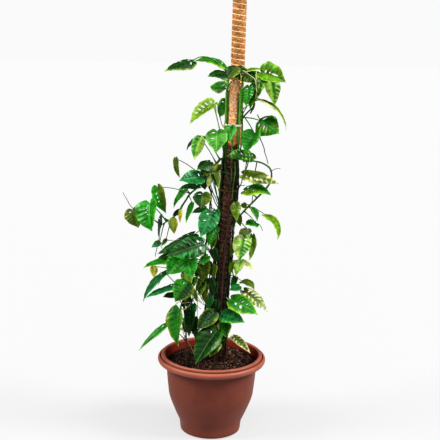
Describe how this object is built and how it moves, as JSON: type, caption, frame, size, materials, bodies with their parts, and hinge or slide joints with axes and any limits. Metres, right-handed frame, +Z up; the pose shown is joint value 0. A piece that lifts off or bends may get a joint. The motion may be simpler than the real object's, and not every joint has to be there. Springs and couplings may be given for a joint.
{
  "type": "potted climbing plant",
  "caption": "Climbing Monstera adansonii with holed leaves, tied to coir moss poles in a round plastic pot of soil.",
  "frame": {"origin": "centre of the pot's flat underside", "axes": "+Z up along the pot, +X to the right and -Y towards the front, as the picture sees it"},
  "size_m": [0.5035, 0.35, 1.402],
  "materials": {
    "pot": "satin red-brown moulded plastic",
    "soil": "dark, damp, lumpy potting soil",
    "coir": "rough brown coconut fibre",
    "coir_pale": "dry pale coconut fibre",
    "stake": "plain round wooden stake",
    "leaf": "semi-gloss green leaves and stems",
    "dry_stalk": "dry straw-coloured stalk",
    "tie": "soft cream plant tie"
  },
  "bodies": {
    "root": {"pot": "pot", "soil": "soil", "pole_coir": "coir", "rear_pole_coir": "coir_pale", "pole_stake": "stake", "rear_pole_stake": "stake", "dry_stalk": "dry_stalk", "tie_upper": "tie", "tie_lower": "tie", "vine_left": "leaf", "vine_right": "leaf", "vine_front": "leaf", "vine_branch": "leaf", "vine_loop": "leaf", "vine_low_left": "leaf", "vine_low_right": "leaf", "vine_foot_left": "leaf", "vine_foot_front": "leaf", "vine_back": "leaf"}
  },
  "joints": []
}
